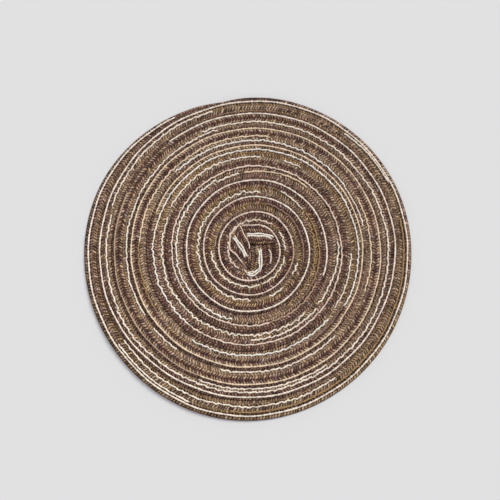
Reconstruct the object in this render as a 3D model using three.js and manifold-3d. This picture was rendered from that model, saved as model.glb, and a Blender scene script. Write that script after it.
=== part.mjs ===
// Round coiled seat pad: one knitted tape wound flat from a folded start and sewn turn to turn.
// Millimetres, +Z up. The shapes are drawn about the coil's centre, and the last lines move the pad
// so that the origin is the middle of its outline, on the surface that it rests on.
// Every turn laps over the inner margin of the next turn out, as shingles do, and four yarns run
// along the tape's face. A needle thread and a bobbin thread hold the laps together.
import * as THREE from "three";
import { mergeVertices } from "three/addons/utils/BufferGeometryUtils.js";
import Module from "manifold-3d";

// Driving dimensions
const PITCH = 19.1; // how far the tape moves out in one turn
const TAPE_WIDTH = 24;
const TAPE_THICKNESS = 1.5; // of the thin inner margin that the lap covers
const PAD_THICKNESS = 3.4; // of the lapped tape, without the yarns on its face
const FIRST_RADIUS = 18; // of the tape's centre line, had the coil begun at its own zero turn
const ZERO_ANGLE = THREE.MathUtils.degToRad(107); // where turn 0 would lie, counterclockwise from +X
const FIRST_TURN = 0.3; // where the folded start becomes the coil
const LAST_TURN = 9.02;
const STEPS_PER_TURN = 24;
const GAP = 0.3; // between pieces that touch

// Yarns along the tape's face, from its outer edge inwards, and the turn where the tail ends each
const YARN_RADIUS = 0.6;
const YARNS = {
  coil_edge_yarn: { across: 7.8, to: 8.75 },
  coil_second_yarn: { across: 3.1, to: 8.8 },
  coil_third_yarn: { across: -1.4, to: 8.85 },
  coil_fourth_yarn: { across: -5.2, to: 8.6 },
};
const THREAD_RADIUS = 0.25;

// The folded start: three lengths of the tape that meet near the coil's centre
const START_RADIUS = 28;
const START_MEETING = new THREE.Vector2(0, 3.2);
const START_FOLDS = { top: 0, left: 116.4, right: 265 }; // directions of the three meeting lines, degrees

// The tail narrows to nothing between these turns, where it slides under the turn inside it
const TAIL = { from: 8.62, to: 9.02, narrowest: 1.5 };

// Worked out from the driving dimensions
const HALF_WIDTH = TAPE_WIDTH / 2;
const LOWER_EDGE = PITCH - HALF_WIDTH - GAP; // outer limit of the tape's lower half
const UPPER_EDGE = -LOWER_EDGE; // inner limit of its upper half
const LAP_UNDERSIDE = TAPE_THICKNESS + GAP;
const SHOULDER = PAD_THICKNESS - 0.6; // height where the rounded edges of the face begin
const SEAM_CHAMFER = 1.6; // room for the bobbin thread under the lap

const wasm = await Module();
wasm.setup();

function solid(geometry) {
  const bare = geometry.clone();
  bare.deleteAttribute("normal");
  bare.deleteAttribute("uv");
  const merged = mergeVertices(bare, 1e-4);
  return new wasm.Manifold(
    new wasm.Mesh({
      numProp: 3,
      vertProperties: merged.attributes.position.array,
      triVerts: new Uint32Array(merged.index.array),
    }),
  );
}

function geometryOf(body) {
  const { vertProperties, triVerts } = body.getMesh();
  const geometry = new THREE.BufferGeometry();
  geometry.setAttribute("position", new THREE.BufferAttribute(vertProperties, 3));
  geometry.setIndex(new THREE.BufferAttribute(triVerts, 1));
  geometry.computeVertexNormals();
  return geometry;
}

const centreRadius = (turn) => FIRST_RADIUS + PITCH * turn;
const angleOf = (turn) => ZERO_ANGLE - 2 * Math.PI * turn; // the coil runs out clockwise

const onStep = (turn) =>
  FIRST_TURN + Math.round((turn - FIRST_TURN) * STEPS_PER_TURN) / STEPS_PER_TURN;

// The line that runs along the coil at a fixed distance across the tape. Its steps are even in
// angle and start where the tape's do, so that everything laid along the tape turns where it turns.
class CoilLine extends THREE.Curve {
  constructor(across, height, from = FIRST_TURN, to = LAST_TURN) {
    super();
    Object.assign(this, { across, height, from: onStep(from), to: onStep(to) });
  }
  getPoint(t, target = new THREE.Vector3()) {
    const turn = this.from + (this.to - this.from) * t;
    const radius = centreRadius(turn) + this.across;
    const angle = angleOf(turn);
    return target.set(radius * Math.cos(angle), radius * Math.sin(angle), this.height);
  }
  getUtoTmapping(u) {
    return u;
  }
  get steps() {
    return Math.round((this.to - this.from) * STEPS_PER_TURN);
  }
}

// A section point from its place across the tape and its height. On a level path ExtrudeGeometry
// takes x downwards and y to the left of travel, which on this coil is outwards.
const at = (across, height) => new THREE.Vector2(-height, across);

const tapeSection = () =>
  new THREE.Shape([
    at(-HALF_WIDTH, 0),
    at(LOWER_EDGE - SEAM_CHAMFER, 0),
    at(LOWER_EDGE, SEAM_CHAMFER),
    at(LOWER_EDGE, LAP_UNDERSIDE),
    at(HALF_WIDTH, LAP_UNDERSIDE),
    at(HALF_WIDTH, SHOULDER),
    at(HALF_WIDTH - 2.4, PAD_THICKNESS),
    at(UPPER_EDGE + 2.1, PAD_THICKNESS),
    at(UPPER_EDGE, SHOULDER),
    at(UPPER_EDGE, TAPE_THICKNESS),
    at(-HALF_WIDTH, TAPE_THICKNESS),
  ]);

function roundSection(radius, sides) {
  const corner = (k) => (2 * Math.PI * (k + 0.5)) / sides;
  return new THREE.Shape(
    Array.from({ length: sides }, (_, k) =>
      at(radius * Math.sin(corner(k)), radius * Math.cos(corner(k))),
    ),
  );
}

function sweep(section, path, steps) {
  return new THREE.ExtrudeGeometry(section, { steps, extrudePath: path, bevelEnabled: false });
}

// A solid of the given plan outline, with its centre at the origin and its underside at z = bottom
function slab(outline, bottom, height) {
  const geometry = new THREE.ExtrudeGeometry(new THREE.Shape(outline), {
    depth: height,
    bevelEnabled: false,
  });
  return geometry.translate(0, 0, bottom);
}

// Plan outline of everything inside the coil: a circle that grows, where the first full turn lies
// further out, to the inner edge of that turn. margin widens it.
function startOutline(margin) {
  const count = 3 * STEPS_PER_TURN;
  return Array.from({ length: count + 1 }, (_, k) => {
    const turn = FIRST_TURN + 1 - k / count;
    const coilEdge = centreRadius(turn) + UPPER_EDGE - GAP;
    const radius = Math.max(START_RADIUS, coilEdge) + margin;
    return new THREE.Vector2(radius * Math.cos(angleOf(turn)), radius * Math.sin(angleOf(turn)));
  });
}

// Plan outline that the outermost turn is trimmed to, so that its tail narrows smoothly.
function rimOutline() {
  const count = 3 * STEPS_PER_TURN;
  return Array.from({ length: count + 1 }, (_, k) => {
    const turn = LAST_TURN - 1 + k / count;
    const share = THREE.MathUtils.smoothstep(turn, TAIL.from, TAIL.to);
    const visible = PITCH * (1 - share) + TAIL.narrowest * share;
    const radius = centreRadius(turn) + HALF_WIDTH - PITCH + visible + 0.01;
    return new THREE.Vector2(radius * Math.cos(angleOf(turn)), radius * Math.sin(angleOf(turn)));
  });
}

function coilTape() {
  const path = new CoilLine(0, 0);
  const whole = solid(sweep(tapeSection(), path, path.steps));
  const start = solid(slab(startOutline(GAP), -1, PAD_THICKNESS + 2));
  const rim = solid(slab(rimOutline(), -1, PAD_THICKNESS + 2));
  return geometryOf(whole.subtract(start).intersect(rim));
}

// A yarn laid on the tape's face, from where it is clear of the folded start
function coilYarn({ across, to }) {
  const clear = (START_RADIUS + GAP + YARN_RADIUS - FIRST_RADIUS - across) / PITCH;
  const from = Math.max(FIRST_TURN, clear);
  const path = new CoilLine(across, PAD_THICKNESS + GAP + YARN_RADIUS, from, to);
  return sweep(roundSection(YARN_RADIUS, 4), path, path.steps);
}

// Needle thread in the valley between two turns, bobbin thread in the chamfer under the lap
function needleThread() {
  const path = new CoilLine(HALF_WIDTH + GAP / 2, SHOULDER + 0.4 + THREAD_RADIUS, 0.8, 7.95);
  return sweep(roundSection(THREAD_RADIUS, 4), path, path.steps);
}
function bobbinThread() {
  const path = new CoilLine(LOWER_EDGE - 0.25, 0.17 + THREAD_RADIUS, 0.8, 7.95);
  return sweep(roundSection(THREAD_RADIUS, 4), path, path.steps);
}

const direction = (degrees) => {
  const a = THREE.MathUtils.degToRad(degrees);
  return new THREE.Vector2(Math.cos(a), Math.sin(a));
};

// One length of the folded start: what lies between two of the meeting lines, half a gap off each
function startStrip(fromDegrees, toDegrees) {
  const reach = 2 * START_RADIUS;
  const [a, b] = [direction(fromDegrees), direction(toDegrees)];
  const middle = direction((fromDegrees + toDegrees) / 2);
  const inset = GAP / 2 / Math.sin(THREE.MathUtils.degToRad((toDegrees - fromDegrees) / 2));
  const tip = START_MEETING.clone().addScaledVector(middle, inset);
  const wedge = [
    tip,
    tip.clone().addScaledVector(a, reach),
    tip.clone().addScaledVector(middle, 2 * reach),
    tip.clone().addScaledVector(b, reach),
  ];
  const inside = solid(slab(startOutline(0), 0, PAD_THICKNESS));
  return geometryOf(inside.intersect(solid(slab(wedge, -1, PAD_THICKNESS + 2))));
}

// A straight length of yarn on the folded start, between two plan points
function startYarn(radius, [x0, y0], [x1, y1]) {
  const height = PAD_THICKNESS + GAP + radius;
  const path = new THREE.LineCurve3(
    new THREE.Vector3(x0, y0, height),
    new THREE.Vector3(x1, y1, height),
  );
  return sweep(roundSection(radius, 6), path, 1);
}

const fabric = (color) => new THREE.MeshStandardMaterial({ color, roughness: 0.9, metalness: 0 });
const groundFabric = fabric(0x6d5646);
const creamYarn = fabric(0xe6dac2);
const brownThread = fabric(0x4b3a31);

const pad = new THREE.Group();
function add(name, geometry, material) {
  const mesh = new THREE.Mesh(geometry, material);
  mesh.name = name;
  pad.add(mesh);
}

add("coil_tape", coilTape(), groundFabric);
for (const [name, yarn] of Object.entries(YARNS)) add(name, coilYarn(yarn), creamYarn);
add("needle_thread", needleThread(), brownThread);
add("bobbin_thread", bobbinThread(), brownThread);

add("start_strip_top", startStrip(START_FOLDS.top, START_FOLDS.left), groundFabric);
add("start_strip_left", startStrip(START_FOLDS.left, START_FOLDS.right), groundFabric);
add("start_strip_right", startStrip(START_FOLDS.right, START_FOLDS.top + 360), groundFabric);

// Each strip's edge yarn and its thicker centre yarn
add("start_edge_yarn_top", startYarn(0.65, [-8, 26], [14, 26]), creamYarn);
add("start_centre_yarn_top", startYarn(1, [-2.5, 15.3], [22, 15.3]), creamYarn);
add("start_edge_yarn_left", startYarn(0.65, [-12.2, 23], [-2.2, 2.8]), creamYarn);
add("start_centre_yarn_left", startYarn(1, [-18, 12.6], [-4.2, -10.2]), creamYarn);
add("start_outer_yarn_left", startYarn(0.65, [-22.5, -0.7], [-6, -19.5]), creamYarn);
add("start_edge_yarn_right", startYarn(0.65, [22.8, -1.5], [21.4, -16.5]), creamYarn);
add("start_centre_yarn_right", startYarn(1, [12, -1.5], [11.6, -22.5]), creamYarn);

const box = new THREE.Box3().setFromObject(pad);
const middle = box.getCenter(new THREE.Vector3());
pad.position.set(-middle.x, -middle.y, -box.min.z);

export default pad;
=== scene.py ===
"""Round coiled seat pad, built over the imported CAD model: one knitted tape of space-dyed yarns wound
flat around a folded start. Lengths are millimetres until a mesh is made, which turns them to metres.
A place on the coil is a turn, counted from the start outwards, and a distance across the tape from
its edge yarn, positive outwards. Four columns of ribs lie side by side in from the edge yarn."""
import math

import bpy
import numpy as np
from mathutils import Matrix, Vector
from mathutils.bvhtree import BVHTree


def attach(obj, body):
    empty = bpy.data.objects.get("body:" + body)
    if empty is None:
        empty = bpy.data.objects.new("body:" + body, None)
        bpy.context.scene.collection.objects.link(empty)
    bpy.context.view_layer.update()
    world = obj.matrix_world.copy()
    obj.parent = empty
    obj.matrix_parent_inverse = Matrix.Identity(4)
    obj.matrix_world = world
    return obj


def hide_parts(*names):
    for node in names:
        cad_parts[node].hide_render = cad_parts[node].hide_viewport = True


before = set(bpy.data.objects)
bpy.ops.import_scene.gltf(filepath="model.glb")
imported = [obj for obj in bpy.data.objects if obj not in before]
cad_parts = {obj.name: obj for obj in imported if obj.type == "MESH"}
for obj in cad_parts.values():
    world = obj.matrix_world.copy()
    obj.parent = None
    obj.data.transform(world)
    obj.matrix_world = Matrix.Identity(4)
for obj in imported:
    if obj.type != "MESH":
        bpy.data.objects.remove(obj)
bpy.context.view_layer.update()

MM = 0.001
rng = np.random.default_rng(7)

# ---------------------------------------------------------------- dimensions of the coil

COIL_CENTRE = np.array([2.0, 5.0])
START_ANGLE = math.radians(105)  # where turn 0 lies, counterclockwise from +X; the coil runs clockwise
FIRST_TURN = 0.03
LAST_TURN = 9.07

# The radius of the edge yarn is a polynomial in the turn, with a pitch a little wider halfway out.
# The coil is wound by hand, so it is also off centre, out of round and uneven near the rim.
SPIRAL = (28.2, 13.12, 2.02, -0.162)
OFF_CENTRE = (3.4, -1.9)  # of turn 0, along X and Y
OFF_CENTRE_PER_TURN = (-0.22, 0.25)
OVAL = (0.65, -0.56)  # along the diagonals, and along X and Y
DIP_DEPTH = 3.1
DIP_STARTS = (7.26, 7.38)
DIP_ENDS = (7.62, 7.74)
SWELLS = [(3.4, 8.56, 0.10), (-1.2, 8.32, 0.08), (-1.4, 8.0, 0.05)]  # how far out, turn, reach in turns
TAIL_DRAW = 16  # how far the tail's end comes in, under the turn before
TAIL_DRAWN = (8.84, 9.10)

FIRST_BREADTH = 19.0  # of the first turn, from its edge yarn to its inner edge
UNDERLAP = 1.6  # how far a turn's inner edge lies behind the edge yarn of the turn before
RIM = 3.1  # from the edge yarn out to the tape's edge
OUTER_RIM = 5.2  # the same on the outermost turn, where the edge curls down
OUTER_RIM_OPENS = (LAST_TURN - 1.08, LAST_TURN - 1.03)
OUTERMOST = (LAST_TURN - 1.01, LAST_TURN - 0.95)  # turns between which the coil becomes the outermost
TAIL_NARROWS = [(1.5, 8.8, 8.95), (2.6, 8.98, LAST_TURN)]  # by how much, from turn, to turn

# Height of the tape's face at shares of the way from the edge yarn (0) to the turn before (1)
FACE_PLACES = [-0.30, -0.13, 0.0, 0.25, 0.5, 0.72, 0.82, 0.87, 1.1]
FACE_HEIGHTS = [3.7, 4.1, 4.3, 4.05, 3.4, 2.75, 2.35, 1.75, 1.6]
LOWEST_FACE = 0.9
# The same on the first turn, at distances in from its edge yarn. It drops under the folded start.
FIRST_FACE_PLACES = [-3, 0, 5, 12]
FIRST_FACE_HEIGHTS = [4.1, 4.3, 4.0, 3.2]
FIRST_DROP = (7.0, 12.5)  # distance in from the edge yarn to the drop, before and after it moves
FIRST_DROP_MOVES = (0.42, 0.58)
FIRST_DROP_REACH = 1.5
DROPPED_FACE = 1.6
PRESSED_FACE = 1.3  # the very start of the first turn is pressed halfway down to this height
PRESSING_ENDS = (0.1, 0.2)
# How far the face curls down at shares of the outermost turn's rim, and sinks towards the tail's end
CURL_PLACES = [0, 0.35, 0.65, 0.85, 1.0]
CURL_DROPS = [0, 0.2, 0.8, 1.4, 2.3]
TAIL_SINK = 1.6
TAIL_SINKS = (8.6, 9.0)
TAIL_SINK_BREADTH = 12

# ---------------------------------------------------------------- dimensions of the knit

RIB = 3.4  # between the tape's cross ribs
ROWS_PER_RIB = 4
COLUMN = 4.7  # between the four yarns along the tape's face, which part it into columns
COLUMNS = 4
COLUMN_STEPS = 8
RIM_STEPS = [1.0, 0.93, 0.78, 0.6, 0.4, 0.2]  # shares of the rim's width
LAST_STEP = 0.01  # keeps the inner edge apart from the last even step of a narrow turn
BANDS = 1 + COLUMNS  # the rim and the columns
HALVES = 2 * BANDS
RIB_SLANT = 0.55  # how far a rib leans along the tape for each millimetre across it
RIB_RELIEF = 0.55
# As shares of the relief: half a rib's height, how much of it is left at the sides of its column,
# how much higher the column's middle is than its sides, and how far all of it is sunk
RIB_SWELL = 0.5
RIB_SIDE = 0.4
RIB_CROWN = 0.35
RIB_SINK = 0.21
RIB_PROFILE = np.array([-1.0, 0.3, 1.0, 0.5])  # heights of the rows of one rib, from valley to valley
RIM_SINK = 0.1
RIM_SINKS_FROM = 0.9 * RIM
RELIEF_STARTS = (-1.5, 1)  # distances out from where the turn before covers the face

RIB_COUNT = 2500  # ribs with random values of their own: how far they stray along the tape, and their size
RIB_SHIFT = (0, 0.8)  # mean and spread
MOST_RIB_SHIFT = 1.3
RIB_SIZES = (0.45, 1.45)

UNDERSIDE_STEPS = 20
UNDERSIDE_HEIGHT = 0.14  # of a rib's middle row, so that its top row rests on the floor
UNDERSIDE_ARCH = 0.15  # how much higher a column's sides are
LAP_HEIGHT = 1.95  # of the underside where it lies on the next turn out
LAP_RISES = (-6, -1.2)
OUTER_RIM_LIFT = 0.35
OUTER_RIM_LIFT_REACH = 2

YARN_RADIUS = 0.92
YARN_LUMPS = 0.22  # as a share of the radius
YARN_LIFT = 0.35  # of a pale yarn above a sunk one
YARN_SINK = 0.15  # of a sunk yarn's middle below the face
SUNK_YARN_RADIUS = 0.42
YARN_STEP = 0.6
YARN_DRIFT = 0.25  # a slow sway across the tape
YARN_DRIFT_LENGTH = 9.7  # along it, for one radian of sway
RUN_END = 0.9  # how far a pale run fades at each end
LEAST_WAVE = 0.12
ZIGZAG_OUT = (3.5, 9.5)  # shortest and longest way along the yarn
ZIGZAG_BACK = (1.8, 4.2)
ZIGZAG_REACH = (0.2, 1.9)  # nearest and farthest corner on one side
ZIGZAG_RETURN = (-1.2, -0.1)  # and on the other
ZIGZAG_LENGTH = 6  # shorter than the average, so that the corners never run out
ZIGZAG_SMOOTHING = 3  # steps
LUMP = 1.9  # between one random swelling and the next
LUMP_SPREAD = 0.6
LOBE_DEPTH = 0.16  # of the plies, as a share of a yarn's radius

THREAD_RADIUS = 0.19
STITCH = 3.2
STEPS_PER_STITCH = 8
SEAM = (0.8, 7.98)  # from turn, to turn
NEEDLE_SWING = (1.3, 4.6)  # how far out from the edge yarn the stitches go
BOBBIN_SWING = (-2.5, 1.0)
NEEDLE_DIP = 0.6  # half the distance over which the needle thread leaves the rim
NEEDLE_LIFT = 0.35
BOBBIN_HEIGHT = 0.02 + THREAD_RADIUS

# ---------------------------------------------------------------- shades

# As they look in soft light: red, green and blue up to 255
SHADES = {
    "espresso": (66, 44, 38),
    "umber": (80, 58, 50),
    "bark": (92, 70, 60),
    "brown": (112, 88, 75),
    "plum": (98, 76, 78),
    "mauve": (122, 100, 90),
    "gold": (140, 118, 82),
    "tan": (150, 129, 105),
    "lilac": (156, 140, 142),
    "sand": (162, 144, 122),
    "straw": (222, 202, 174),
    "dim_cream": (216, 200, 184),
    "cream": (242, 230, 212),
    "bright_cream": (246, 240, 228),
}
LIGHT_LOSS = np.array([1.60, 1.38, 1.26])  # how much lighter a dark yarn is than it looks among the ribs
LIGHTEST = 0.93
LIGHTEST_STRAND = 0.78  # in the ribs
DARKEST_STRAND = 0.01
LIGHT_TINT = np.array([1.30, 1.02, 0.68])  # red, green and blue of the lightest strands, about their mean
LIGHT_STRANDS = (0.12, 0.5)  # lightness between which strands come to take that tint
CALMING = 0.6  # how much of it they take

RIB_SHADING = np.array([0.05, 0.8, 2.35, 0.8])  # painted shade and highlight: how light the yarn is painted at each row of a rib, darkest in the valley and lightest at the top
RIB_HIGHLIGHT = np.array([0, 0, 0.13, 0])  # and how far its top is paled towards lilac, a painted highlight
VALLEY_TINT = (1.9, 0.85, 0.7)  # of the light left in the valleys, which has bounced among brown yarns
COLUMN_END_SHADE = 0.75  # how light the painted rib shading is where the ribs end at the sides of a column
STROKE_PARTING = 1.5  # how quickly they come to their own shading from there
# Random tones, least and greatest: of half a rib, of a rib and of each of its rows
HALF_TONES = (0.75, 1.25)
RIB_TONES = (0.4, 1.55)
LOOP_TONES = (0.4, 1.6)
MOST_TONE = 1.45
STRAY_SHADES = ["espresso", "espresso", "plum", "mauve", "gold", "lilac"]
MOST_STRAY = 0.75
STRAY_RARITY = 1.4  # the higher, the fewer ribs stray far

# On the outermost turn the rim's yarns run along it: how light they are at shares of its width
RIM_BAND_PLACES = [0.0, 0.14, 0.34, 0.5, 0.72, 0.86, 1.0]
RIM_BANDS = [1.0, 0.4, 0.5, 1.3, 1.25, 0.6, 0.5]
RIM_SHADOW = 0.5  # at the edge of the rims that a later turn lies beside
RIM_SHADOW_REACH = 2.0
CREASE_SHADOW = 0.6  # how dark the painted shadow in the crease along the middle of each column is, on the widest turns
CREASE_WIDTH = 0.13  # in columns
CREASE_STARTS = (7.9, 8.1)
COLUMN_SHADOW = (0.38, 0.3)  # depth, and reach in columns
COLUMN_BORDER = 0.04
UNDERSIDE_SHADOW = (0.4, 0.3)
# painted shade: the underside's paint is darkened to this share, as it faces the floor
UNDERSIDE_LIGHT = 0.9
GROOVE_SHADOW = 0.6
GROOVE_REACH = 2.4  # from a pale yarn to the end of the painted shadow in the groove beside it
# painted shade on a sunk yarn, which lies low between the columns: it takes the ground's shade, darkened
# to this share
SUNK_YARN_LIGHT = 0.7
LUMP_LIGHT = 0.2  # how much lighter a face yarn is where it swells
MOST_LIT_LUMP = 0.4

# The ground's shades up to a turn: on the rim, then in the outer and inner halves of the first and
# second columns in from the edge yarn, and in the third and fourth columns
GROUND_RUNS = [
    (1.00, "bark", "bark", "umber", "umber", "mauve", "tan", "mauve"),
    (2.00, "brown", "umber", "umber", "bark", "gold", "tan", "tan"),
    (3.36, "bark", "brown", "umber", "brown", "gold", "gold", "sand"),
    (4.40, "bark", "brown", "brown", "bark", "tan", "tan", "mauve"),
    (4.85, "bark", "brown", "brown", "brown", "mauve", "gold", "tan"),
    (5.40, "brown", "sand", "gold", "mauve", "gold", "gold", "sand"),
    (6.40, "bark", "straw", "brown", "umber", "tan", "sand", "tan"),
    (7.20, "bark", "sand", "bark", "umber", "tan", "tan", "tan"),
    (8.00, "brown", "bark", "bark", "sand", "tan", "tan", "tan"),
    (8.35, "mauve", "bark", "gold", "sand", "tan", "gold", "tan"),
    (8.65, "gold", "plum", "gold", "sand", "tan", "gold", "tan"),
    (8.80, "gold", "brown", "mauve", "tan", "gold", "gold", "gold"),
    (9.10, "mauve", "brown", "mauve", "tan", "gold", "gold", "gold"),
]
# Where each of those seven shades lies, in columns in from the edge yarn
GROUND_SPANS = [(-0.4, 0.0), (0.1, 0.49), (0.51, 0.99), (1.01, 1.49), (1.51, 2.2), (2.4,), (3.2,)]
GROUND_CHANGE = 0.05  # turns over which one run's shades change to the next run's

# Pale runs of the four face yarns: from turn, to turn, distance across at each end, shade, zigzag
EDGE_RUNS = [
    (0.00, 1.28, 0, 0, "dim_cream", 0),
    (1.28, 1.40, 0, 0, "sand", 0),
    (1.40, 2.00, 0, 0, "dim_cream", 0),
    (2.00, 3.35, 0, 0, "cream", 0),
    (4.85, 5.40, 0, -0.8, "straw", 0),
    (5.40, 6.60, 0, 0, "straw", 0),
    (6.60, 6.86, 0, 0, "sand", 0),
    (6.94, 8.96, 0, 0, "cream", 0),
]
SECOND_RUNS = [
    (3.37, 3.50, -4.4, -4.4, "sand", 0.5),
    (3.50, 4.65, -4.5, -4.1, "dim_cream", 0.4),
    (4.65, 4.80, -4.4, -4.4, "bright_cream", 1.0),
    (4.80, 4.86, -4.9, -5.4, "cream", 0.2),
    (4.86, 5.38, -5.6, -5.6, "bright_cream", 0.3),
    (5.38, 5.45, -7.0, -7.0, "mauve", 0.6),
    (8.15, 8.22, -3.3, -1.7, "cream", 0.3),
    (8.26, 8.56, -4.4, -4.2, "gold", 0.2),
    (8.60, 8.69, -3.1, -3.1, "cream", 0.2),
]
THIRD_RUNS = [
    (0.50, 0.58, -9.9, -10.6, "dim_cream", 0.9),
    (0.62, 0.84, -11.0, -11.4, "dim_cream", 0.9),
    (0.88, 1.16, -9.6, -9.8, "dim_cream", 0.8),
    (1.21, 1.30, -8.7, -10.4, "cream", 0.7),
    (1.33, 1.49, -9.9, -9.9, "cream", 0.7),
    (1.50, 1.78, -10.2, -9.4, "cream", 0.8),
    (1.80, 1.85, -13.3, -13.3, "sand", 0.3),
    (2.10, 2.33, -7.0, -7.0, "mauve", 0.4),
    (2.34, 2.38, -12.6, -12.6, "cream", 0.8),
    (2.43, 2.48, -12.6, -12.6, "cream", 0.8),
    (3.12, 3.19, -7.6, -9.8, "cream", 0.4),
    (3.20, 3.40, -9.8, -7.9, "gold", 0.4),
    (3.58, 3.97, -9.5, -9.5, "bright_cream", 0.8),
    (3.97, 4.02, -11.6, -11.6, "cream", 0.5),
    (4.03, 4.16, -11.4, -7.9, "straw", 0.4),
    (4.28, 4.40, -7.6, -11.4, "cream", 0.6),
    (4.41, 4.54, -9.3, -9.3, "cream", 0.5),
    (5.70, 5.80, -8.7, -8.7, "gold", 0.6),
    (5.80, 6.07, -9.3, -9.3, "straw", 0.5),
    (6.22, 6.35, -10.5, -11.0, "straw", 0.5),
    (6.98, 7.20, -10.2, -10.2, "cream", 0.6),
    (7.20, 7.36, -9.9, -6.6, "cream", 0.6),
    (7.36, 7.72, -5.6, -5.6, "cream", 0.6),
    (7.72, 7.83, -7.6, -7.6, "cream", 0.5),
    (7.84, 8.00, -5.6, -4.6, "cream", 0.5),
    (8.45, 8.69, -10.2, -10.2, "cream", 0.5),
]
FOURTH_RUNS = [
    (2.54, 3.07, -13.4, -13.9, "cream", 1.3),
    (3.23, 3.45, -13.9, -13.9, "gold", 1.3),
    (4.43, 4.70, -15.1, -15.1, "cream", 1.2),
    (4.70, 4.85, -13.9, -15.0, "cream", 1.0),
    (4.87, 5.06, -13.4, -14.3, "cream", 0.8),
    (5.10, 5.13, -13.9, -13.9, "cream", 0.4),
    (5.30, 5.39, -13.9, -13.9, "cream", 0.6),
    (5.41, 5.63, -13.1, -13.1, "bright_cream", 0.6),
    (5.92, 6.20, -13.9, -15.6, "bright_cream", 0.7),
    (6.20, 6.26, -16.2, -16.2, "cream", 0.4),
    (6.42, 6.58, -13.7, -13.7, "cream", 0.5),
    (6.64, 6.68, -13.7, -13.7, "cream", 0.4),
    (6.70, 7.00, -13.7, -13.7, "cream", 0.5),
    (7.45, 7.60, -9.3, -9.3, "cream", 0.5),
]
# Each yarn's distance across where it is sunk, its pale runs, and its first and last turn
FACE_YARNS = {
    "coil_edge_yarn": (0.0, EDGE_RUNS, 0.12, 8.97),
    "coil_second_yarn": (-1.0 * COLUMN, SECOND_RUNS, 0.3, 8.9),
    "coil_third_yarn": (-2.1 * COLUMN, THIRD_RUNS, 0.45, 8.85),
    "coil_fourth_yarn": (-3.0 * COLUMN, FOURTH_RUNS, 1.0, 8.7),
}

# ---------------------------------------------------------------- the folded start

# Three lengths of the tape, each tucked at one end under the next. Points are from the coil's
# centre: the side that lies over the next length, from the tucked end, and then the far side.
START_STRIPS = {
    "top": (
        [(-9, 5), (8, 4.4), (24, 5.5), (31, 7)],
        [(-10, 29.2), (6, 29.0), (20, 26.8), (31, 19)],
    ),
    "left": (
        [(7, -9), (-0.4, 4), (-5.8, 15.5), (-12.5, 28.4)],
        [(6, -28), (-13, -12.5), (-22.6, -2.5), (-25, 9)],
    ),
    "right": (
        [(1, 9), (1.2, 1), (2.0, -12), (0, -26)],
        [(24, 6), (26, -6), (26.4, -14), (19, -24)],
    ),
}
# Shades across each length from the side that lies over to the far side
START_SHADES = {
    "top": ("gold", "espresso", "brown", "gold", "umber", "brown", "umber", "umber"),
    "left": ("mauve", "umber", "bark", "brown", "gold", "umber", "bark", "tan"),
    "right": ("gold", "bark", "gold", "brown", "brown", "umber", "umber", "brown"),
}
START_PICKS = {"top": 393, "left": 524, "right": 655}  # the rib whose random values each starts with
PICK_STRIDE = 7
START_RIB = 2.6
START_COLUMNS = 5
START_STEPS = 36  # across
START_HEIGHT = 2.5  # at the tucked end
START_RISE = 2.0  # from the tucked end to the length's full height
START_RISES = (0.02, 0.3)  # shares of its length
START_LEAN = 0.5  # how much lower the far side is
START_END_DROP = 1.1
START_END_DROPS = (0.86, 1.0)  # shares of its length
START_BREADTH = 22
START_ROUNDING = 0.9  # of its sides, downwards
START_ROUNDING_REACH = 1.3  # and inwards
START_CROWN = 0.3  # as RIB_CROWN and RIB_SINK
START_SINK = 0.2
START_THICKNESS = 2.1
START_LOWEST = 0.15  # of the underside, between its ribs
START_UNDERSIDE_RELIEF = 0.1
# painted shade: the underside takes the face's paint, darkened to this share
START_UNDERSIDE_LIGHT = 0.8
START_COLUMN_SHADOW = (0.6, 0.3)  # as COLUMN_SHADOW and COLUMN_BORDER
START_COLUMN_BORDER = 0.05
START_SIDE_SHADOW = 0.65
START_SIDE_REACH = 0.05  # share of the breadth

# The small hollow where the three lengths meet, from the coil's centre
HOLLOW = (2.0, 5.0)
HOLLOW_REACH = (5, 3)
HOLLOW_DEPTH = 0.9
HOLLOW_SHADOW = 0.92

# Yarns on the start: corners of the route (from the coil's centre), radius, plies side by side
START_YARNS = {
    "start_edge_yarn_top": ([(-9.5, 26.8), (2, 27.6), (12, 27.2), (17, 25)], 0.76, 1),
    "start_centre_yarn_top": ([(-3.5, 15.6), (6, 15.9), (16, 15.4), (24, 13.8), (27, 11.6)], 0.95, 2),
    "start_edge_yarn_left": ([(-11.7, 27.2), (-6.2, 16), (-0.6, 4.6), (0.2, -1)], 0.7, 1),
    "start_centre_yarn_left": ([(-18.9, 13.4), (-13.5, 6.6), (-7.9, -2.4), (-3.9, -10.2)], 0.95, 2),
    "start_outer_yarn_left": (
        [(-14.6, 25), (-21, 18.6), (-23.2, 9.7), (-22.6, -0.6), (-14.4, -9.4), (-4, -21.4)], 0.84, 1,
    ),
    "start_edge_yarn_right": ([(22, -1), (24.6, -6.8), (25, -13.4), (23.4, -18.4)], 0.8, 1),
    "start_centre_yarn_right": (
        [(11.2, -0.8), (12.6, -8), (12.4, -16), (12.2, -23.4), (8.6, -27.6), (2.8, -31.0), (-3, -29.6)],
        0.92, 2,
    ),
}
PLY_SPACING = 2.7  # in radii
PLY_SWAY = 0.35  # across the yarn
PLY_SWAY_LENGTH = 2.7  # along it, for one radian of sway
PLY_LUMPS = 0.1  # as a share of the radius
PLY_LUMP_LENGTH = 1.9
PLY_END_RADIUS = 0.35  # share of the radius left at a yarn's ends
PLY_END_DROP = 0.5
PLY_END = (-0.3, 1.4)  # distances from a yarn's end between which it grows to its full radius
START_YARN_LIFT = 0.25
START_YARN_SMOOTHING = 7  # steps
START_YARN_MOTTLE = 0.12
START_YARN_MOTTLE_WAVES = (1.7, 1.3)  # along X and Y, radians for each millimetre
CURVE_STEPS = 40  # for each corner of a route
HEIGHT_WITHOUT_TAPE = 2.0
RAY_HEIGHT = 50  # above every piece of tape

# ---------------------------------------------------------------- floor, light and camera, in metres

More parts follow.
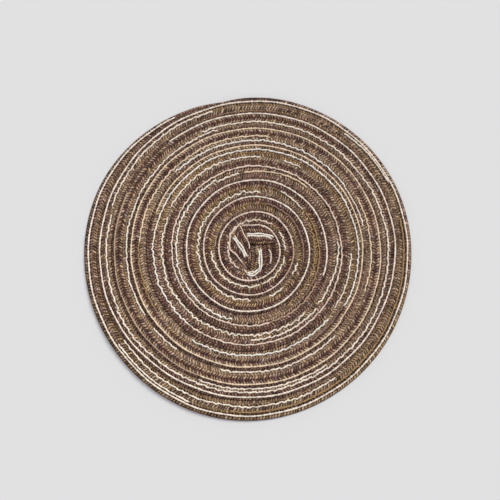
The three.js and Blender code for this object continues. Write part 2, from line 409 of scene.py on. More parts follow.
FLOOR_REACH = 60
FLOOR_DROP = 0.0001
FLOOR_COLOUR = (0.80, 0.80, 0.80, 1)
WORLD_COLOUR = (0.965, 0.935, 1.01, 1)
WORLD_STRENGTH = 0.55
SUN_COLOUR = (0.98, 1.0, 0.935)
SUN_ENERGY = 2.46
SUN_WIDTH = math.radians(17)
SUN_FROM = Vector((1.2, 1.0, 1.0))
CAMERA_ELEVATION = math.radians(79.8)
CAMERA_DISTANCE = 0.817
CAMERA_TARGET = Vector((0.0025, 0.0029, 0.004))
CAMERA_SENSOR = 36  # millimetres, as is the lens
CAMERA_LENS = 50.6

# ---------------------------------------------------------------- shared formulas


def smoothstep(x, low, high):
    """0 up to low, 1 from high, and smooth between them."""
    share = np.clip((x - low) / (high - low), 0, 1)
    return share * share * (3 - 2 * share)


def bell(x, middle, reach):
    """1 in the middle, and falling away to 0 on both sides."""
    return np.exp(-(((x - middle) / reach) ** 2))


def shade(name):
    """A shade as linear light, 0 to 1, by the sRGB curve. Dark shades come out a little lighter than
    they look, because they lose light among the ribs."""
    looks = np.array(SHADES[name]) / 255
    linear = ((looks + 0.055) / 1.055) ** 2.4
    linear = linear * (1 + (LIGHT_LOSS - 1) * (1 - linear.max()))
    return linear * min(1, LIGHTEST / linear.max())


def route_length(corners):
    """Length of straight lines through the corners."""
    return np.linalg.norm(np.diff(np.array(corners, float), axis=0), axis=1).sum()


def smooth_line(corners, count):
    """Evenly spaced points along a smooth curve through the corners."""
    corners = np.array(corners, float)
    padded = np.vstack([2 * corners[0] - corners[1], corners, 2 * corners[-1] - corners[-2]])
    places = np.linspace(0, len(corners) - 1, CURVE_STEPS * len(corners))
    corner = np.minimum(places.astype(int), len(corners) - 2)
    share = (places - corner)[:, None]
    before, start, end, after = (padded[corner + k] for k in range(4))
    bend = 2 * before - 5 * start + 4 * end - after
    twist = 3 * (start - end) + after - before
    curve = start + 0.5 * share * (end - before + share * (bend + share * twist))
    run = np.concatenate([[0], np.cumsum(np.linalg.norm(np.diff(curve, axis=0), axis=1))])
    even = np.linspace(0, run[-1], count)
    return np.stack([np.interp(even, run, curve[:, axis]) for axis in range(curve.shape[1])], axis=-1)


def unit(vectors):
    """Vectors of the same directions, 1 long."""
    return vectors / np.linalg.norm(vectors, axis=-1, keepdims=True)


# ---------------------------------------------------------------- the coil's plan and heights


def angle(turn):
    """Direction from the coil's centre, counterclockwise from +X."""
    return START_ANGLE - 2 * math.pi * turn


def edge_radius(turn):
    """Radius of the edge yarn."""
    around = angle(turn)
    spiral = sum(factor * turn**power for power, factor in enumerate(SPIRAL))
    off_x = OFF_CENTRE[0] + OFF_CENTRE_PER_TURN[0] * turn
    off_y = OFF_CENTRE[1] + OFF_CENTRE_PER_TURN[1] * turn
    shifted = off_x * np.cos(around) + off_y * np.sin(around)
    oval = OVAL[0] * np.sin(2 * around) + OVAL[1] * np.cos(2 * around)
    swells = sum(height * bell(turn, middle, reach) for height, middle, reach in SWELLS)
    dip = DIP_DEPTH * (smoothstep(turn, *DIP_STARTS) - smoothstep(turn, *DIP_ENDS))
    return spiral + shifted + oval + swells - dip - TAIL_DRAW * smoothstep(turn, *TAIL_DRAWN)


def coil_lengths(turns):
    """Length of the edge yarn from the first of the turns to each of them."""
    radii = edge_radius(turns)
    steps_around = (radii[1:] + radii[:-1]) / 2 * 2 * math.pi * np.diff(turns)
    return np.concatenate([[0], np.cumsum(np.hypot(np.diff(radii), steps_around))])


MEASURED_TURNS = np.linspace(0, LAST_TURN + 0.1, 9001)
MEASURED_LENGTHS = coil_lengths(MEASURED_TURNS)


def length_at(turn):
    """Length of the edge yarn from turn 0."""
    return np.interp(turn, MEASURED_TURNS, MEASURED_LENGTHS)


def turn_at(length):
    """The turn at a length of the edge yarn from turn 0."""
    return np.interp(length, MEASURED_LENGTHS, MEASURED_TURNS)


def coil_point(turn, across, height):
    """A point of the coil, in the frame."""
    radius = edge_radius(turn) + across
    x = COIL_CENTRE[0] + radius * np.cos(angle(turn))
    y = COIL_CENTRE[1] + radius * np.sin(angle(turn))
    return np.stack(np.broadcast_arrays(x, y, height), axis=-1)


def breadth(turn):
    """From a turn's edge yarn in to the edge yarn of the turn before it."""
    pitch = edge_radius(turn) - edge_radius(np.maximum(turn - 1, 0))
    return np.where(turn < 1, FIRST_BREADTH - UNDERLAP, pitch)


def outermost(turn):
    """1 where no later turn lies outside, else 0."""
    return smoothstep(turn, *OUTERMOST)


def rim_width(turn):
    """From the edge yarn out to the tape's edge. The rim of the outermost turn is wider, up to its
    tail end, which slides under the turn before."""
    wider = (OUTER_RIM - RIM) * smoothstep(turn, *OUTER_RIM_OPENS)
    narrower = sum(step * smoothstep(turn, first, last) for step, first, last in TAIL_NARROWS)
    return RIM + wider - narrower


def first_face_height(turn, across):
    """Height of the first turn's face."""
    drop = FIRST_DROP[0] + (FIRST_DROP[1] - FIRST_DROP[0]) * smoothstep(turn, *FIRST_DROP_MOVES)
    dropped = smoothstep(-across, drop - FIRST_DROP_REACH, drop + FIRST_DROP_REACH)
    height = np.interp(-across, FIRST_FACE_PLACES, FIRST_FACE_HEIGHTS)
    height = height + (DROPPED_FACE - height) * dropped
    pressed = 0.5 * (1 - smoothstep(turn, *PRESSING_ENDS))
    return height + (PRESSED_FACE - height) * pressed


def face_height(turn, across):
    """Height of the tape's face, without its ribs."""
    height = np.interp(-across / breadth(turn), FACE_PLACES, FACE_HEIGHTS)
    height = np.where(turn < 1, first_face_height(turn, across), height)
    curl = outermost(turn) * np.interp(across / rim_width(turn), CURL_PLACES, CURL_DROPS)
    sink = TAIL_SINK * smoothstep(turn, *TAIL_SINKS) * smoothstep(across, -TAIL_SINK_BREADTH, 0)
    return np.maximum(height - curl - sink, LOWEST_FACE)


# ---------------------------------------------------------------- materials


def new_material(name):
    material = bpy.data.materials.new(name)
    material.use_nodes = True
    nodes = material.node_tree.nodes
    return material, nodes, material.node_tree.links, nodes["Principled BSDF"]


def set_inputs(node, values):
    """Sets a node's own sockets by name."""
    for name, value in values.items():
        node.inputs[name].default_value = value


def yarn_material(name, fibre_scale, contrast, fuzz, roughness, gloss, sheen):
    """Spun yarn: the piece's own shades, mottled and roughened by fine fibres."""
    material, nodes, links, shader = new_material(name)
    place = nodes.new("ShaderNodeTexCoord")
    paint = nodes.new("ShaderNodeVertexColor")
    paint.layer_name = "shade"

    fibres = nodes.new("ShaderNodeTexNoise")
    set_inputs(fibres, {"Scale": fibre_scale, "Detail": 6, "Roughness": 0.7})
    links.new(place.outputs["Object"], fibres.inputs["Vector"])

    tone = nodes.new("ShaderNodeMapRange")
    set_inputs(tone, {"From Min": 0.25, "From Max": 0.75})
    set_inputs(tone, {"To Min": 1 - contrast, "To Max": 1 + contrast})
    links.new(fibres.outputs["Fac"], tone.inputs["Value"])

    mottled = nodes.new("ShaderNodeVectorMath")
    mottled.operation = "SCALE"
    links.new(paint.outputs["Color"], mottled.inputs[0])
    links.new(tone.outputs["Result"], mottled.inputs["Scale"])
    links.new(mottled.outputs["Vector"], shader.inputs["Base Color"])

    relief = nodes.new("ShaderNodeBump")
    set_inputs(relief, {"Strength": fuzz, "Distance": 0.0004})
    links.new(fibres.outputs["Fac"], relief.inputs["Height"])
    links.new(relief.outputs["Normal"], shader.inputs["Normal"])

    set_inputs(shader, {"Roughness": roughness, "Specular IOR Level": gloss})
    set_inputs(shader, {"Sheen Weight": sheen, "Sheen Roughness": 0.5})
    return material


# By the record's slot
MATERIALS = {
    "ground_fabric": yarn_material(
        "ground_yarn", fibre_scale=2600, contrast=0.35, fuzz=0.6, roughness=0.95, gloss=0.12, sheen=0.05
    ),
    "cream_yarn": yarn_material(
        "cream_yarn", fibre_scale=2200, contrast=0.14, fuzz=0.4, roughness=0.8, gloss=0.3, sheen=0.15
    ),
    "brown_thread": yarn_material(
        "sewing_thread", fibre_scale=3000, contrast=0.2, fuzz=0.3, roughness=0.6, gloss=0.3, sheen=0.05
    ),
}

# ---------------------------------------------------------------- meshes


def link(name, data):
    """A new object in the scene, for a mesh, a light or a camera."""
    thing = bpy.data.objects.new(name, data)
    bpy.context.scene.collection.objects.link(thing)
    return thing


def make_piece(name, points, faces, colours, node, slot, flat_ends=False):
    """A piece from points in millimetres, with a colour for each point. The last two faces are its
    ends."""
    mesh = bpy.data.meshes.new(name)
    mesh.from_pydata(points * MM, [], faces)
    mesh.update()
    paint = mesh.color_attributes.new("shade", "FLOAT_COLOR", "POINT")
    paint.data.foreach_set("color", np.c_[colours, np.ones(len(colours))].ravel())
    mesh.polygons.foreach_set("use_smooth", np.ones(len(mesh.polygons), dtype=bool))
    if flat_ends:
        mesh.polygons[len(faces) - 2].use_smooth = False
        mesh.polygons[len(faces) - 1].use_smooth = False
    mesh.materials.append(MATERIALS[slot])
    piece = link(name, mesh)
    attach(piece, "root")
    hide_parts(node)
    return piece


def loft(grid):
    """Points and faces of a closed tube through the rows of a grid of points: rows, places round,
    xyz."""
    rows, around, _ = grid.shape
    index = np.arange(rows * around).reshape(rows, around)
    following = np.roll(index, -1, axis=1)
    quads = np.stack([index[:-1], following[:-1], following[1:], index[1:]], axis=-1)
    faces = quads.reshape(-1, 4).tolist()
    faces.append(index[0][::-1].tolist())
    faces.append(index[-1].tolist())
    return grid.reshape(-1, 3), faces


def tube(route, radii, sides=8, plies=2, twist_length=3.4):
    """Rows of points round a route. The section is lobed, and turns along the route as plies do."""
    along = unit(np.gradient(route, axis=0))
    side = unit(np.cross(along, [0, 0, 1.0]))
    over = np.cross(side, along)
    steps = np.linalg.norm(np.diff(route, axis=0), axis=1)
    twist = 2 * math.pi * np.concatenate([[0], np.cumsum(steps)]) / twist_length
    around = 2 * math.pi * np.arange(sides) / sides
    lobes = 1 + LOBE_DEPTH * np.cos(plies * (around[None, :] - twist[:, None] / plies))
    reach = np.asarray(radii)[:, None] * lobes
    sideways = (reach * np.cos(around))[:, :, None] * side[:, None, :]
    upwards = (reach * np.sin(around))[:, :, None] * over[:, None, :]
    return route[:, None, :] + sideways + upwards


# ---------------------------------------------------------------- the ribs' random values


def for_both_halves(values):
    """Values for the rim and each column, as values for their halves."""
    return np.repeat(values, 2, axis=-1)


per_band = (RIB_COUNT, BANDS)
per_half = (RIB_COUNT, HALVES)
rib_shift = np.clip(rng.normal(*RIB_SHIFT, per_band), -MOST_RIB_SHIFT, MOST_RIB_SHIFT)
rib_size = rng.uniform(*RIB_SIZES, per_half)
rib_tone = rng.uniform(*HALF_TONES, per_half) * for_both_halves(rng.uniform(*RIB_TONES, per_band))
loop_tone = for_both_halves(rng.uniform(*LOOP_TONES, (RIB_COUNT, ROWS_PER_RIB, BANDS)))
rib_stray = for_both_halves(rng.integers(0, len(STRAY_SHADES), per_band))
rib_stray_share = MOST_STRAY * rng.random(per_half) ** STRAY_RARITY

# ---------------------------------------------------------------- paint


def calmed(paint):
    """The lightest strands, light both from their own tones and from the painted highlight at the ribs'
    tops, are all tinted near one olive tan, and none is lighter than undyed yarn.
    """
    light = paint.mean(axis=-1, keepdims=True)
    paint = paint + (light * LIGHT_TINT - paint) * CALMING * smoothstep(light, *LIGHT_STRANDS)
    brightest = np.maximum(paint.max(axis=-1, keepdims=True), DARKEST_STRAND)
    return paint * np.minimum(1, LIGHTEST_STRAND / brightest)


def ribbed_paint(paint, pick, half, row_in_rib, window, light):
    """The ground's shades as each rib carries them: it strays towards another of the tape's yarns,
    has a tone of its own, pales at its top in a painted highlight, darkens in its valley in painted
    shade, and is multiplied by light, which carries painted shade and, on the outermost rim, that
    rim's own bands. Towards the sides of its column the painted shading fades to an even tone, so
    that ribs of neighbouring columns don't run into one."""
    strays = np.array([shade(name) for name in STRAY_SHADES])[rib_stray[pick, half]]
    paint = paint + (strays - paint) * rib_stray_share[pick, half][..., None]
    tone = np.minimum(rib_tone[pick, half] * loop_tone[pick, row_in_rib[:, None], half], MOST_TONE)
    row_tint = np.where(row_in_rib[:, None] == 0, VALLEY_TINT, 1)
    row_shading = (RIB_SHADING[row_in_rib][:, None] * row_tint)[:, None, :]
    apart = np.minimum(1, STROKE_PARTING * window)[..., None]
    shading = COLUMN_END_SHADE + (row_shading - COLUMN_END_SHADE) * apart
    paint = paint * tone[..., None] * shading * light[..., None]
    # Painted highlight: each rib's top pales towards lilac
    highlight = RIB_HIGHLIGHT[row_in_rib][:, None] * light
    return calmed(paint + (shade("lilac") - paint) * highlight[..., None])


def ground_shade(turn, across):
    """The ground's shade at a turn and distance across, for arrays of one shape."""
    places = COLUMN * np.array([place for span in GROUND_SPANS for place in span])
    order = [1 + number for number, span in enumerate(GROUND_SPANS) for _ in span]
    table = np.array([[shade(run[number]) for number in order] for run in GROUND_RUNS])
    ends = np.array([run[0] for run in GROUND_RUNS])
    run = np.minimum(np.searchsorted(ends, turn), len(ends) - 1)
    next_run = np.minimum(run + 1, len(ends) - 1)
    place = np.interp(-across, places, np.arange(len(places)))
    left = np.floor(place).astype(int)
    right = np.minimum(left + 1, len(places) - 1)
    share = (place - left)[..., None]
    here = table[run, left] * (1 - share) + table[run, right] * share
    after = table[next_run, left] * (1 - share) + table[next_run, right] * share
    return here + (after - here) * smoothstep(turn, ends[run] - GROUND_CHANGE, ends[run])[..., None]


def column_shadow(inside, depth, reach, border=COLUMN_BORDER):
    """Darker along both sides of each column."""
    return 1 - depth * (1 - smoothstep(np.minimum(inside, 1 - inside), border, reach))


# ---------------------------------------------------------------- the face yarns' lines


def zigzag_swing(lengths):
    """An uneven zigzag about 0, which leaves the edge slowly and comes back to it quickly."""
    count = int(lengths[-1] / ZIGZAG_LENGTH) + 2
    limits = (ZIGZAG_OUT, ZIGZAG_BACK, ZIGZAG_REACH, ZIGZAG_RETURN)
    slow, quick, reach, back = (rng.uniform(*pair, count) for pair in limits)
    corners = np.cumsum(np.stack([slow, quick], axis=1).ravel())
    swing = np.interp(lengths, corners, np.stack([reach, back], axis=1).ravel())
    return np.convolve(swing, np.ones(ZIGZAG_SMOOTHING) / ZIGZAG_SMOOTHING, "same")


def yarn_line(home, runs, first, last):
    """Lengths along a face yarn, and its distance across, paleness and shade there. It is pale in
    its runs, and sunk in the ground between them."""
    lengths = np.arange(length_at(first), length_at(last), YARN_STEP)
    turns = turn_at(lengths)
    knots = [first, *[place for run in runs for place in run[:2]], last]
    distances = [home, *[distance for run in runs for distance in run[2:4]], home]
    order = np.argsort(knots, kind="stable")
    across = np.interp(turns, np.array(knots)[order], np.array(distances)[order])
    wave = np.zeros_like(turns)
    pale = np.zeros_like(turns)
    # Painted shade: where it is sunk, the yarn takes the ground's shade, darkened
    shades = ground_shade(turns, across) * SUNK_YARN_LIGHT
    for start, end, _, _, shade_name, zigzag in runs:
        starting = smoothstep(lengths, length_at(start) - RUN_END, length_at(start) + RUN_END)
        ending = smoothstep(lengths, length_at(end) - RUN_END, length_at(end) + RUN_END)
        share = starting * (1 - ending)
        pale = np.maximum(pale, share)
        wave = np.maximum(wave, zigzag * share)
        shades += (shade(shade_name) - shades) * share[:, None]
    drift = YARN_DRIFT * np.sin(lengths / YARN_DRIFT_LENGTH)
    across = across + (LEAST_WAVE + wave) * zigzag_swing(lengths) + drift
    return lengths, across, pale, shades


yarn_lines = {name: yarn_line(*line) for name, line in FACE_YARNS.items()}


def painted_groove_shadow(lengths, across):
    """Painted shadow in the groove beside a pale face yarn: 1 beside one, 0 away from one."""
    groove_shadow_share = np.zeros(np.shape(across))
    for places, line, pale, _ in yarn_lines.values():
        away = np.abs(across - np.interp(lengths, places, line))
        near = 1 - smoothstep(away, GROOVE_REACH / 2, GROOVE_REACH)
        groove_shadow_share = np.maximum(groove_shadow_share, np.interp(lengths, places, pale, 0, 0) * near)
    return groove_shadow_share


# ---------------------------------------------------------------- the coiled tape


def across_places(turns):
    """Distances across the face for each turn: steps over the rim, even steps over the four columns,
    and the inner edge, which lies under the turn before."""
    rim = rim_width(turns)[:, None] * RIM_STEPS
    inner = breadth(turns) + UNDERLAP
    shares = -np.arange(COLUMNS * COLUMN_STEPS + 1) / (COLUMNS * COLUMN_STEPS)
    face = shares[None, :] * np.minimum(COLUMNS * COLUMN, inner)[:, None]
    return np.hstack([rim, face, -inner[:, None] - LAST_STEP])


def rib_lean(columns_in):
    """How far a rib leans along the tape: one way and the other in alternate columns."""
    return (np.abs((columns_in + 1) % 2 - 1) - 0.5) * COLUMN * RIB_SLANT


def rib_relief(swell, size, window, crown, sink):
    """How far a rib stands out. It is flatter towards the sides of its column."""
    rib = RIB_SWELL * swell * size * (RIB_SIDE + (1 - RIB_SIDE) * window)
    return RIB_RELIEF * (rib + crown * window - sink)


def rib_strokes(rows, across, first_pick=0):
    """How each rib's strokes lie at the points of a sheet of rows: which rib's random values they
    take, their half column, how far they are across their column (inside, 0 to 1, and window, 1 in
    its middle and 0 at its sides), and the turn they reach, since they lean and stray."""
    rib = rows // ROWS_PER_RIB
    phase = (rows % ROWS_PER_RIB / ROWS_PER_RIB)[:, None]
    column = np.clip(np.floor(-across / COLUMN), -1, COLUMNS - 1).astype(int)
    inside = -across / COLUMN - column
    half = 2 * (column + 1) + (inside > 0.5)
    pick = (rib[:, None] + first_pick) % RIB_COUNT
    shift = rib_shift[pick, column + 1]
    next_shift = rib_shift[(pick + 1) % RIB_COUNT, column + 1]
    window = np.clip(np.sin(math.pi * np.clip(inside, 0, 1)), 0, 1)
    stray = (shift + (next_shift - shift) * phase) * np.sqrt(window)
    where = turn_at((rows * RIB / ROWS_PER_RIB)[:, None] + rib_lean(-across / COLUMN) + stray)
    return pick, half, inside, window, where


def tape_face(rows, turns, across, swell):
    """Points and paint of the tape's face."""
    pick, half, inside, window, where = rib_strokes(rows, across)
    lapped = RIM - breadth(turns)[:, None]  # the turn before covers the face further in than this
    relief = rib_relief(swell, rib_size[pick, half], window, RIB_CROWN, RIB_SINK)
    height = face_height(where, across) + relief * smoothstep(across - lapped, *RELIEF_STARTS)
    height = np.where(across > RIM_SINKS_FROM, height - RIM_SINK, height)

    outer = outermost(turns)[:, None]
    # Painted shade in the light factor: along both sides of each column, in the grooves beside pale yarns,
    # at the edge of a rim that a later turn lies beside, and in a crease along the middle of each column
    # on the widest turns. The outermost rim's bands are the shades of its own yarns, carried in the same
    # factor.
    groove_shadow_share = painted_groove_shadow(length_at(where), across)
    rim_shadow = RIM_SHADOW * smoothstep(across, RIM - RIM_SHADOW_REACH, RIM) * (1 - outer)
    bands = np.interp(across / rim_width(turns)[:, None], RIM_BAND_PLACES, RIM_BANDS)
    crease_shadow = CREASE_SHADOW * bell(inside, 0.5, CREASE_WIDTH) * smoothstep(turns, *CREASE_STARTS)[:, None]
    light = column_shadow(inside, *COLUMN_SHADOW) * (1 - GROOVE_SHADOW * groove_shadow_share) * (1 - rim_shadow)
    light = light * (1 + (bands - 1) * outer) * (1 - crease_shadow * (across < 0))
    paint = ribbed_paint(ground_shade(where, across), pick, half, rows % ROWS_PER_RIB, window, light)
    return coil_point(where, across, height), paint


def tape_underside(rows, turns, rim, inner, swell):
    """Points and paint of the underside, from the inner edge out to the rim's lower edge."""
    across = inner + (rim - inner) * np.linspace(0, 1, UNDERSIDE_STEPS)
    pick, half, inside, window, where = rib_strokes(rows, across, first_pick=RIB_COUNT // 2)
    outer = outermost(turns)[:, None]
    lapping = smoothstep(across, *LAP_RISES) * (1 - outer) * smoothstep(turns, *PRESSING_ENDS)[:, None]
    lift = OUTER_RIM_LIFT * smoothstep(across, rim - OUTER_RIM_LIFT_REACH, rim) * outer
    ribs = UNDERSIDE_HEIGHT * (1 - swell) + UNDERSIDE_ARCH * (1 - window)
    height = ribs + LAP_HEIGHT * lapping + lift
    # Painted shade: the underside is painted darker than the face, and darker still along the sides of
    # each column
    light = UNDERSIDE_LIGHT * column_shadow(inside, *UNDERSIDE_SHADOW)
    paint = ribbed_paint(ground_shade(where, across), pick, half, rows % ROWS_PER_RIB, window, light)
    return coil_point(where, across, height), paint


def tape_turn(number, first, last):
    """One turn of the tape as a closed mesh: ribbed face and underside."""
    first_rib = math.ceil(length_at(first) / RIB)
    last_rib = math.ceil(length_at(last) / RIB)
    rows = np.arange(first_rib * ROWS_PER_RIB, last_rib * ROWS_PER_RIB + 1)
    turns = turn_at(rows * RIB / ROWS_PER_RIB)
    across = across_places(turns)
    swell = RIB_PROFILE[rows % ROWS_PER_RIB][:, None]
    face, face_paint = tape_face(rows, turns, across, swell)
    under, under_paint = tape_underside(rows, turns, across[:, :1], across[:, -1:], swell)
    points, faces = loft(np.concatenate([face, under], axis=1))
    colours = np.concatenate([face_paint, under_paint], axis=1).reshape(-1, 3)
    name = f"tape_turn_{number}"
    piece = make_piece(name, points, faces, colours, "coil_tape", "ground_fabric", flat_ends=True)
    return piece


def lumpiness(lengths):
    """Random swellings along a yarn, -1 to 1."""
    places = np.arange(lengths[0], lengths[-1] + 2 * LUMP, LUMP)
    return np.interp(lengths, places, np.clip(rng.normal(0, LUMP_SPREAD, len(places)), -1, 1))


def face_yarn(name):
    """A yarn lying on the tape's face."""
    lengths, across, pale, shades = yarn_lines[name]
    turns = turn_at(lengths)
    route = coil_point(turns, across, face_height(turns, across) - YARN_SINK + YARN_LIFT * pale)
    lumps = lumpiness(lengths)
    radii = (SUNK_YARN_RADIUS + (YARN_RADIUS - SUNK_YARN_RADIUS) * pale) * (1 + YARN_LUMPS * lumps)
    grid = tube(route, radii)
    points, faces = loft(grid)
    lightness = 1 + LUMP_LIGHT * np.minimum(lumps, MOST_LIT_LUMP)
    paint = np.repeat(shades * lightness[:, None], grid.shape[1], axis=0)
    return make_piece(name, points, faces, paint, name, "cream_yarn")


# ---------------------------------------------------------------- the seam


def needle_height(turn, across):
    """The needle thread rests on the rim, and dips to the next turn's face beyond it."""
    on_rim = face_height(turn, np.minimum(across, RIM - NEEDLE_DIP))
    beyond = edge_radius(turn) + across - edge_radius(turn + 1)
    on_next = face_height(np.minimum(turn + 1, LAST_TURN), beyond)
    share = smoothstep(across, RIM - NEEDLE_DIP, RIM + NEEDLE_DIP)
    return on_rim * (1 - share) + on_next * share + NEEDLE_LIFT


def bobbin_height(turn, across):
    """The bobbin thread lies just above the floor."""
    return np.full_like(across, BOBBIN_HEIGHT)


def stitches(name, swing, height_at):
    """A zigzag of sewing thread along the lap between two turns."""
    first, last = length_at(SEAM)
    steps = np.arange(0, int((last - first) / STITCH), 1 / STEPS_PER_STITCH)
    turns = turn_at(first + STITCH * steps)
    across = swing[0] + (swing[1] - swing[0]) * np.abs(steps % 2 - 1)
    route = coil_point(turns, across, height_at(turns, across))
    grid = tube(route, np.full(len(route), THREAD_RADIUS), sides=6, plies=3, twist_length=1.2)
    points, faces = loft(grid)
    paint = np.tile(shade("mauve"), (len(points), 1))
    return make_piece(name, points, faces, paint, name, "brown_thread")


# ---------------------------------------------------------------- the folded start


def hollow(plan):
    """1 in the middle of the small hollow where the three lengths meet, 0 away from it."""
    return bell(plan[..., 0], HOLLOW[0], HOLLOW_REACH[0]) * bell(plan[..., 1], HOLLOW[1], HOLLOW_REACH[1])


def start_height(along, across):
    """Height of a start length's face at shares of its length and breadth."""
    height = START_HEIGHT + START_RISE * smoothstep(along, *START_RISES) - START_LEAN * across
    edge = np.minimum(across, 1 - across) * START_BREADTH
    inward = 1 - np.clip(edge / START_ROUNDING_REACH, 0, 1)
    rounding = START_ROUNDING * (1 - np.sqrt(1 - inward**2))
    return height - rounding - START_END_DROP * smoothstep(along, *START_END_DROPS)


def start_shade(side, across):
    """The ground's shade at shares of a start length's breadth."""
    table = np.array([shade(name) for name in START_SHADES[side]])
    place = across * (len(table) - 1)
    left = np.minimum(place.astype(int), len(table) - 2)
    return table[left] + (table[left + 1] - table[left]) * (place - left)[..., None]


def start_plan(side, rows, across):
    """Plan points of a start length, with the lean of its ribs."""
    near, far = START_STRIPS[side]
    near_line = smooth_line(near, len(rows))[:, None, :]
    far_line = smooth_line(far, len(rows))[:, None, :]
    plan = near_line + (far_line - near_line) * across[..., None]
    return plan + unit(np.gradient(plan, axis=0)) * rib_lean(across * START_COLUMNS)[..., None]


def start_strip(side):
    """One folded length of the start as a closed mesh."""
    length = route_length(START_STRIPS[side][0])
    rows = np.arange(int(length / START_RIB) * ROWS_PER_RIB + 1)
    along = rows[:, None] / rows[-1]
    across = np.linspace(0, 1, START_STEPS + 1)[None, :]
    column = np.minimum((across * START_COLUMNS).astype(int), START_COLUMNS - 1)
    inside = across * START_COLUMNS - column
    half = 2 * column + (inside > 0.5)
    window = np.sin(math.pi * inside)
    pick = (rows[:, None] // ROWS_PER_RIB * PICK_STRIDE + START_PICKS[side]) % RIB_COUNT
    swell = RIB_PROFILE[rows % ROWS_PER_RIB][:, None]
    plan = start_plan(side, rows, across)

    relief = rib_relief(swell, rib_size[pick, 2 * column], window, START_CROWN, START_SINK)
    top = start_height(along, across)
    bottom = np.maximum(top - START_THICKNESS, START_LOWEST) - START_UNDERSIDE_RELIEF * swell
    face = np.dstack([plan + COIL_CENTRE, top + relief - HOLLOW_DEPTH * hollow(plan)])
    under = np.dstack([plan + COIL_CENTRE, bottom])

    to_side = np.minimum(across, 1 - across)
    light = column_shadow(inside, *START_COLUMN_SHADOW, border=START_COLUMN_BORDER)
    light = light * (1 - START_SIDE_SHADOW * (1 - smoothstep(to_side, 0, START_SIDE_REACH)))
    light = light * (1 - HOLLOW_SHADOW * hollow(plan))
    paint = ribbed_paint(start_shade(side, across), pick, half, rows % ROWS_PER_RIB, window, light)

    points, faces = loft(np.concatenate([under, face[:, ::-1]], axis=1))
    # Painted shade: the underside takes the face's paint, darkened
    colours = np.concatenate([START_UNDERSIDE_LIGHT * paint, paint[:, ::-1]], axis=1).reshape(-1, 3)
    node = f"start_strip_{side}"
    piece = make_piece(f"start_{side}", points, faces, colours, node, "ground_fabric", flat_ends=True)
    return piece


def surface_of(piece):
    """A piece's surface, for dropping points on it."""
    corners = [vertex.co for vertex in piece.data.vertices]
    return BVHTree.FromPolygons(corners, [list(face.vertices) for face in piece.data.polygons])


def height_under(place, surfaces):
    """Height of the highest of the surfaces at a plan point."""
    above = Vector((*place, RAY_HEIGHT)) * MM
    hits = [surface.ray_cast(above, Vector((0, 0, -1)))[0] for surface in surfaces]
    return max((hit.z / MM for hit in hits if hit is not None), default=HEIGHT_WITHOUT_TAPE)


def start_yarn(name, corners, radius, plies, surfaces):
    """A yarn on the folded start, laid on whatever piece of tape is highest beneath it."""
    plan = smooth_line(corners, int(route_length(corners) / YARN_STEP) + 2) + COIL_CENTRE
    heights = np.pad([height_under(place, surfaces) for place in plan], START_YARN_SMOOTHING // 2, "edge")
    window = np.ones(START_YARN_SMOOTHING) / START_YARN_SMOOTHING
    heights = np.convolve(heights, window, "valid") + START_YARN_LIFT
    forward = unit(np.gradient(plan, axis=0))
    beside = np.stack([-forward[:, 1], forward[:, 0]], axis=-1)
    lengths = np.arange(len(plan)) * YARN_STEP
    full = smoothstep(lengths, *PLY_END) * smoothstep(lengths[-1] - lengths, *PLY_END)

    points = np.empty((0, 3))
    faces = []
    for ply in range(plies):
        place = (ply - (plies - 1) / 2) * PLY_SPACING * radius
        sway = PLY_SWAY * np.sin(lengths / PLY_SWAY_LENGTH + 2 * ply)
        lumps = 1 + PLY_LUMPS * np.sin(lengths / PLY_LUMP_LENGTH + ply)
        radii = radius * lumps * (PLY_END_RADIUS + (1 - PLY_END_RADIUS) * full)
        route = np.c_[plan + beside * (place + sway)[:, None], heights - PLY_END_DROP * (1 - full)]
        ply_points, ply_faces = loft(tube(route, radii))
        faces += [[corner + len(points) for corner in face] for face in ply_faces]
        points = np.vstack([points, ply_points])

    base = shade("bright_cream" if plies == 2 else "dim_cream")
    waves = points[:, :2] * START_YARN_MOTTLE_WAVES
    mottle = 1 + START_YARN_MOTTLE * np.sin(waves[:, :1]) * np.cos(waves[:, 1:])
    return make_piece(name, points, faces, base * mottle, name, "cream_yarn")


# ---------------------------------------------------------------- the floor

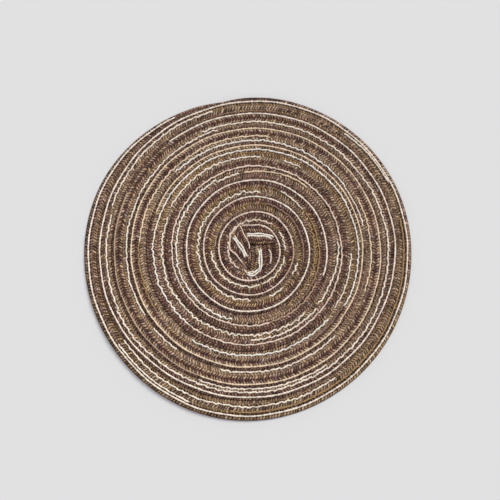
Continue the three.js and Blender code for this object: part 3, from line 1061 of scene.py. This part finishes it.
floor_corners = [(FLOOR_REACH * x, FLOOR_REACH * y, 0) for x, y in [(-1, -1), (1, -1), (1, 1), (-1, 1)]]
floor_mesh = bpy.data.meshes.new("floor")
floor_mesh.from_pydata(floor_corners, [], [(0, 1, 2, 3)])
floor_material, _, _, floor_shader = new_material("pale_floor")
set_inputs(floor_shader, {"Base Color": FLOOR_COLOUR, "Roughness": 0.9, "Specular IOR Level": 0.1})
floor_mesh.materials.append(floor_material)
floor = link("floor", floor_mesh)
floor.location.z = -FLOOR_DROP

# ---------------------------------------------------------------- the pad

turn_limits = [FIRST_TURN, 1, 2, 3, 4, 5, 6, 7, 8, LAST_TURN]
limit_pairs = zip(turn_limits[:-1], turn_limits[1:])
turns_of_tape = [tape_turn(number, *limits) for number, limits in enumerate(limit_pairs, 1)]
start_strips = [start_strip(side) for side in START_STRIPS]

under_start_yarns = [surface_of(piece) for piece in (*turns_of_tape[:2], *start_strips)]
for name, (corners, radius, plies) in START_YARNS.items():
    start_yarn(name, corners, radius, plies, under_start_yarns)
for name in FACE_YARNS:
    face_yarn(name)
stitches("needle_thread", NEEDLE_SWING, needle_height)
stitches("bobbin_thread", BOBBIN_SWING, bobbin_height)

# ---------------------------------------------------------------- light and camera


def facing(direction):
    """The rotation that points a light or a camera along a direction."""
    return direction.to_track_quat("-Z", "Y").to_euler()


world = bpy.data.worlds.new("studio")
world.use_nodes = True
set_inputs(world.node_tree.nodes["Background"], {"Color": WORLD_COLOUR, "Strength": WORLD_STRENGTH})
bpy.context.scene.world = world
bpy.context.scene.view_settings.view_transform = "Standard"

sun_data = bpy.data.lights.new("soft_sun", "SUN")
sun_data.energy = SUN_ENERGY
sun_data.color = SUN_COLOUR
sun_data.angle = SUN_WIDTH
link("soft_sun", sun_data).rotation_euler = facing(-SUN_FROM)

camera_data = bpy.data.cameras.new("camera")
camera_data.sensor_width = CAMERA_SENSOR
camera_data.lens = CAMERA_LENS
camera = link("camera", camera_data)
back = Vector((0, -math.cos(CAMERA_ELEVATION), math.sin(CAMERA_ELEVATION)))
camera.location = CAMERA_TARGET + CAMERA_DISTANCE * back
camera.rotation_euler = facing(-back)
bpy.context.scene.camera = camera
